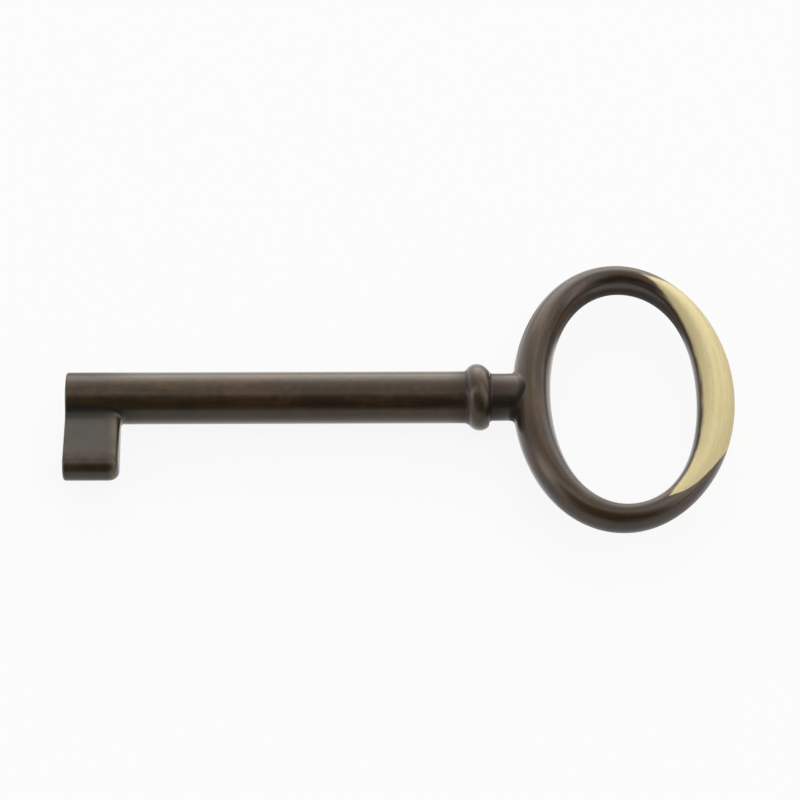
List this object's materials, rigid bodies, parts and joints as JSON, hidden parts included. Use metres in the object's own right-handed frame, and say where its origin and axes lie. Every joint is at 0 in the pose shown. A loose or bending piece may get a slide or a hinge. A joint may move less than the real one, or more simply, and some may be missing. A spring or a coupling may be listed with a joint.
{
  "type": "furniture key",
  "caption": "Pipe key with an oval bow, a beaded collar, a round drilled barrel and a plain rectangular bit flush with the tip.",
  "frame": {"origin": "on the barrel's axis, at the mouth of the drill-pin hole in the tip", "axes": "+X along the key from the tip to the bow, -Y the way the bit points, +Z square to the bow's plane"},
  "size_m": [0.0768, 0.0358, 0.0076],
  "materials": {
    "barrel": "dark brown patina, satin, lightly mottled",
    "bit": "dark brown patina, satin, rubbed at the long edges",
    "collar": "dark brown patina, satin",
    "stem": "dark brown patina, satin",
    "bow": "dark brown patina, brushed back to bright brass over the far end",
    "braze": "dark brown patina, satin"
  },
  "bodies": {
    "root": {"barrel": "barrel", "bit": "bit", "bit_braze": "braze", "collar": "collar", "collar_braze": "braze", "stem": "stem", "bow": "bow", "bow_braze": "braze"}
  },
  "joints": []
}
